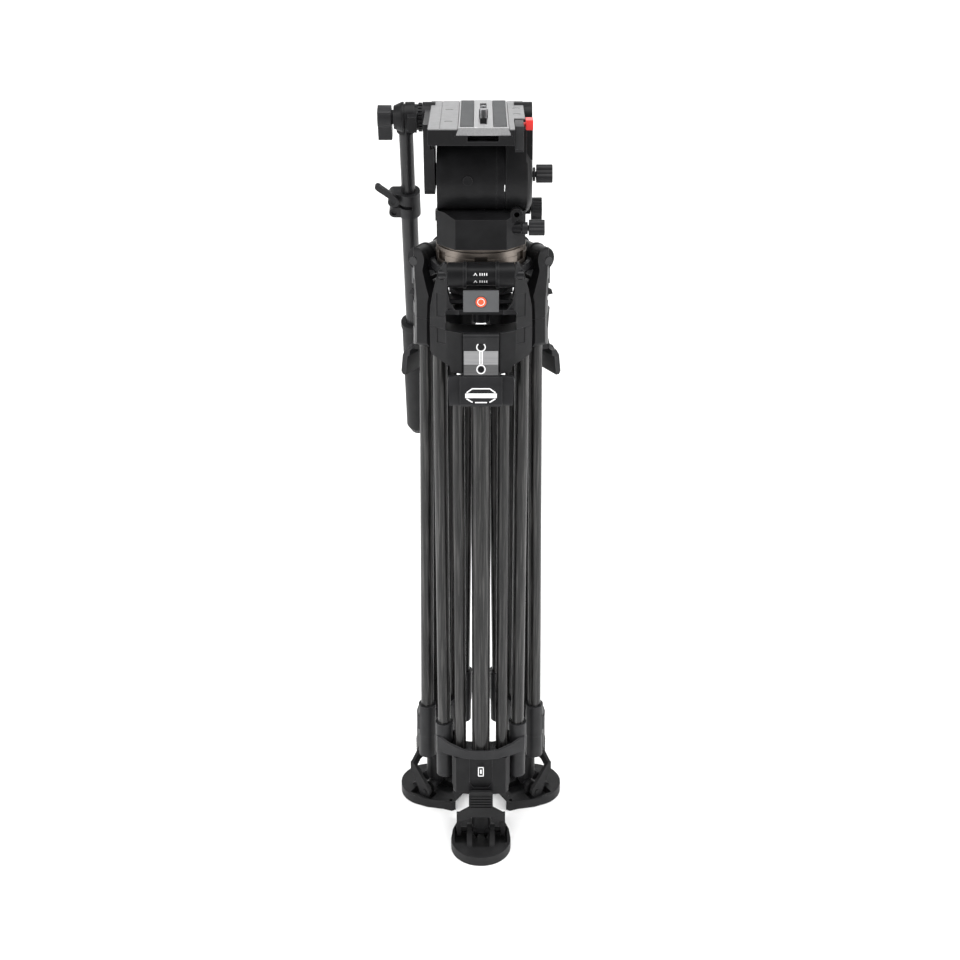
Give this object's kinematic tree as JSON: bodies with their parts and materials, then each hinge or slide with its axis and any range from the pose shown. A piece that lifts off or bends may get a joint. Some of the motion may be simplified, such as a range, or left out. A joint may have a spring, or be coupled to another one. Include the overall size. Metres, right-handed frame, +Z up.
{
  "type": "tripod with fluid head",
  "caption": "Video tripod with twin-tube telescoping legs, rubber shoes, levelling half-ball and a fluid head with sliding plate and pan bar, folded.",
  "frame": {"origin": "on the floor under the middle of the folded object", "axes": "+Z up, -Y towards the front leg, +X to the right seen from the front leg"},
  "size_m": [0.228, 0.3506, 0.92],
  "materials": {
    "black_casting": "semi-matte black powder coat",
    "carbon": "satin unidirectional carbon fibre",
    "black_plastic": "fine-grained moulded plastic",
    "rubber": "matte rubber",
    "platform_grey": "satin light grey top, black sides",
    "plate_grey": "satin anodised",
    "pad_grey": "matte grey rubber",
    "badge_grey": "satin grey",
    "ball_metal": "hard-anodised bronze grey",
    "steel": "bright machined",
    "black_tube": "black anodised",
    "release_red": "glossy red plastic"
  },
  "bodies": {
    "bowl": {"bowl_spider": "black_casting", "hinge_pins": "steel"},
    "front_leg": {"front_yoke": "black_casting", "front_tube_housing": "black_casting", "front_outer_tubes": "carbon", "front_lower_bracket": "black_plastic"},
    "front_lever": {"front_lock_lever": "black_plastic"},
    "front_stop": {"front_angle_stop": "badge_grey"},
    "front_middle_stage": {"front_inner_tubes": "carbon", "front_lower_block": "black_casting"},
    "front_lower_stage": {"front_centre_tube": "carbon", "front_spike_foot": "black_casting"},
    "front_rubber_shoe": {"front_shoe": "rubber"},
    "front_shoe_strap": {"front_strap": "rubber"},
    "right_leg": {"right_yoke": "black_casting", "right_tube_housing": "black_casting", "right_outer_tubes": "carbon", "right_lower_bracket": "black_plastic"},
    "right_lever": {"right_lock_lever": "black_plastic"},
    "right_stop": {"right_angle_stop": "badge_grey"},
    "right_middle_stage": {"right_inner_tubes": "carbon", "right_lower_block": "black_casting"},
    "right_lower_stage": {"right_centre_tube": "carbon", "right_spike_foot": "black_casting"},
    "right_rubber_shoe": {"right_shoe": "rubber"},
    "right_shoe_strap": {"right_strap": "rubber"},
    "left_leg": {"left_yoke": "black_casting", "left_tube_housing": "black_casting", "left_outer_tubes": "carbon", "left_lower_bracket": "black_plastic"},
    "left_lever": {"left_lock_lever": "black_plastic"},
    "left_stop": {"left_angle_stop": "badge_grey"},
    "left_middle_stage": {"left_inner_tubes": "carbon", "left_lower_block": "black_casting"},
    "left_lower_stage": {"left_centre_tube": "carbon", "left_spike_foot": "black_casting"},
    "left_rubber_shoe": {"left_shoe": "rubber"},
    "left_shoe_strap": {"left_strap": "rubber"},
    "levelling_ring": {"level_liner": "black_plastic"},
    "ball": {"half_ball": "ball_metal", "tie_down_stud": "steel"},
    "tie_down": {"tie_down_knob": "black_plastic"},
    "pan_block": {"pan_base": "black_casting", "tilt_drum": "black_casting"},
    "pan_lock": {"pan_lock_knob": "black_plastic"},
    "pan_drag": {"pan_drag_dial": "black_plastic"},
    "tilt_platform": {"tilt_frame": "platform_grey"},
    "tilt_lock": {"tilt_lock_knob": "black_plastic"},
    "plate": {"sliding_plate": "plate_grey", "plate_pads": "pad_grey", "camera_screws": "steel"},
    "plate_lever": {"plate_lock_lever": "black_plastic"},
    "plate_release": {"release_button": "release_red"},
    "pan_bar": {"bar_holder": "black_casting", "bar_inner_tube": "black_tube"},
    "bar_clamp": {"bar_clamp_knob": "black_plastic"},
    "bar_extension": {"bar_outer_tube": "black_tube", "bar_clamp_collar": "black_plastic", "grip": "rubber"},
    "bar_lever": {"bar_clamp_lever": "black_plastic"}
  },
  "joints": [
    {"name": "front_leg_spread", "type": "hinge", "parent": "bowl", "child": "front_leg", "pos_m": [0.007, -0.116, 0.752], "axis": [-1, 0, 0], "range_deg": [0, 68]},
    {"name": "front_angle_stop_slide", "type": "slide", "parent": "front_leg", "child": "front_stop", "axis": [0, 0.0166, 0.9999], "range_m": [0, 0.005], "stiffness_N_per_m": 250, "springref_m": -0.004},
    {"name": "front_lock_lever_swing", "type": "hinge", "parent": "front_leg", "child": "front_lever", "pos_m": [0.007, -0.13148, 0.68725], "axis": [-1, 0, 0], "range_deg": [0, 95]},
    {"name": "front_middle_extend", "type": "slide", "parent": "front_leg", "child": "front_middle_stage", "axis": [0, -0.0166, -0.9999], "range_m": [0, 0.36]},
    {"name": "front_lower_extend", "type": "slide", "parent": "front_middle_stage", "child": "front_lower_stage", "axis": [0, -0.0166, -0.9999], "range_m": [0, 0.4]},
    {"name": "front_shoe_tilt", "type": "hinge", "parent": "front_lower_stage", "child": "front_rubber_shoe", "pos_m": [0.007, -0.12515, 0.01905], "axis": [-1, 0, 0], "range_deg": [-25, 0]},
    {"name": "front_strap_swing", "type": "hinge", "parent": "front_rubber_shoe", "child": "front_shoe_strap", "pos_m": [0.007, -0.12515, 0.01905], "axis": [1, 0, 0], "range_deg": [0, 45]},
    {"name": "right_leg_spread", "type": "hinge", "parent": "bowl", "child": "right_leg", "pos_m": [0.05896, -0.026, 0.752], "axis": [0.5, -0.866, 0], "range_deg": [0, 68]},
    {"name": "right_angle_stop_slide", "type": "slide", "parent": "right_leg", "child": "right_stop", "axis": [-0.0144, -0.0083, 0.9999], "range_m": [0, 0.005], "stiffness_N_per_m": 250, "springref_m": -0.004},
    {"name": "right_lock_lever_swing", "type": "hinge", "parent": "right_leg", "child": "right_lever", "pos_m": [0.07236, -0.01826, 0.68725], "axis": [0.5, -0.866, 0], "range_deg": [0, 95]},
    {"name": "right_middle_extend", "type": "slide", "parent": "right_leg", "child": "right_middle_stage", "axis": [0.0144, 0.0083, -0.9999], "range_m": [0, 0.36]},
    {"name": "right_lower_extend", "type": "slide", "parent": "right_middle_stage", "child": "right_lower_stage", "axis": [0.0144, 0.0083, -0.9999], "range_m": [0, 0.4]},
    {"name": "right_shoe_tilt", "type": "hinge", "parent": "right_lower_stage", "child": "right_rubber_shoe", "pos_m": [0.06689, -0.02142, 0.01905], "axis": [0.5, -0.866, 0], "range_deg": [-25, 0]},
    {"name": "right_strap_swing", "type": "hinge", "parent": "right_rubber_shoe", "child": "right_shoe_strap", "pos_m": [0.06689, -0.02142, 0.01905], "axis": [-0.5, 0.866, 0], "range_deg": [0, 45]},
    {"name": "left_leg_spread", "type": "hinge", "parent": "bowl", "child": "left_leg", "pos_m": [-0.04496, -0.026, 0.752], "axis": [0.5, 0.866, 0], "range_deg": [0, 68]},
    {"name": "left_angle_stop_slide", "type": "slide", "parent": "left_leg", "child": "left_stop", "axis": [0.0144, -0.0083, 0.9999], "range_m": [0, 0.005], "stiffness_N_per_m": 250, "springref_m": -0.004},
    {"name": "left_lock_lever_swing", "type": "hinge", "parent": "left_leg", "child": "left_lever", "pos_m": [-0.05836, -0.01826, 0.68725], "axis": [0.5, 0.866, 0], "range_deg": [0, 95]},
    {"name": "left_middle_extend", "type": "slide", "parent": "left_leg", "child": "left_middle_stage", "axis": [-0.0144, 0.0083, -0.9999], "range_m": [0, 0.36]},
    {"name": "left_lower_extend", "type": "slide", "parent": "left_middle_stage", "child": "left_lower_stage", "axis": [-0.0144, 0.0083, -0.9999], "range_m": [0, 0.4]},
    {"name": "left_shoe_tilt", "type": "hinge", "parent": "left_lower_stage", "child": "left_rubber_shoe", "pos_m": [-0.05289, -0.02142, 0.01905], "axis": [0.5, 0.866, 0], "range_deg": [-25, 0]},
    {"name": "left_strap_swing", "type": "hinge", "parent": "left_rubber_shoe", "child": "left_shoe_strap", "pos_m": [-0.05289, -0.02142, 0.01905], "axis": [-0.5, -0.866, 0], "range_deg": [0, 45]},
    {"name": "level_pitch", "type": "hinge", "parent": "bowl", "child": "levelling_ring", "pos_m": [0.007, -0.056, 0.764], "axis": [1, 0, 0], "range_deg": [-7, 7]},
    {"name": "level_roll", "type": "hinge", "parent": "levelling_ring", "child": "ball", "pos_m": [0.007, -0.056, 0.764], "axis": [0, 1, 0], "range_deg": [-7, 7]},
    {"name": "tie_down_turn", "type": "hinge", "parent": "ball", "child": "tie_down", "pos_m": [0.007, -0.056, 0.7], "axis": [0, 0, 1], "continuous": true},
    {"name": "pan", "type": "hinge", "parent": "ball", "child": "pan_block", "pos_m": [0.007, -0.056, 0.776], "axis": [0, 0, 1], "continuous": true},
    {"name": "pan_lock_turn", "type": "hinge", "parent": "pan_block", "child": "pan_lock", "pos_m": [0.057, -0.094, 0.797], "axis": [1, 0, 0], "range_deg": [-90, 0]},
    {"name": "pan_drag_turn", "type": "hinge", "parent": "pan_block", "child": "pan_drag", "pos_m": [0.067, -0.036, 0.803], "axis": [1, 0, 0], "range_deg": [0, 270]},
    {"name": "tilt", "type": "hinge", "parent": "pan_block", "child": "tilt_platform", "pos_m": [0.007, -0.056, 0.846], "axis": [-1, 0, 0], "range_deg": [-75, 15]},
    {"name": "tilt_lock_turn", "type": "hinge", "parent": "tilt_platform", "child": "tilt_lock", "pos_m": [0.072, -0.056, 0.846], "axis": [1, 0, 0], "range_deg": [0, 90]},
    {"name": "plate_slide", "type": "slide", "parent": "tilt_platform", "child": "plate", "axis": [0, 1, 0], "range_m": [-0.035, 0.035]},
    {"name": "plate_lever_swing", "type": "hinge", "parent": "tilt_platform", "child": "plate_lever", "pos_m": [0.043, -0.106, 0.902], "axis": [1, 0, 0], "range_deg": [0, 45]},
    {"name": "plate_release_press", "type": "slide", "parent": "plate_lever", "child": "plate_release", "axis": [-1, 0, 0], "range_m": [0, 0.0018], "stiffness_N_per_m": 400, "springref_m": -0.001},
    {"name": "pan_bar_angle", "type": "hinge", "parent": "tilt_platform", "child": "pan_bar", "pos_m": [-0.053, 0.001, 0.896], "axis": [1, 0, 0], "range_deg": [0, 140]},
    {"name": "bar_clamp_turn", "type": "hinge", "parent": "pan_bar", "child": "bar_clamp", "pos_m": [-0.098, 0.001, 0.896], "axis": [1, 0, 0], "range_deg": [-180, 180]},
    {"name": "bar_extend", "type": "slide", "parent": "pan_bar", "child": "bar_extension", "axis": [0, 0.3502, -0.9367], "range_m": [0, 0.13]},
    {"name": "bar_lever_swing", "type": "hinge", "parent": "bar_extension", "child": "bar_lever", "pos_m": [-0.0933, 0.02566, 0.79579], "axis": [0, 0.9367, 0.3502], "range_deg": [-60, 20]}
  ]
}
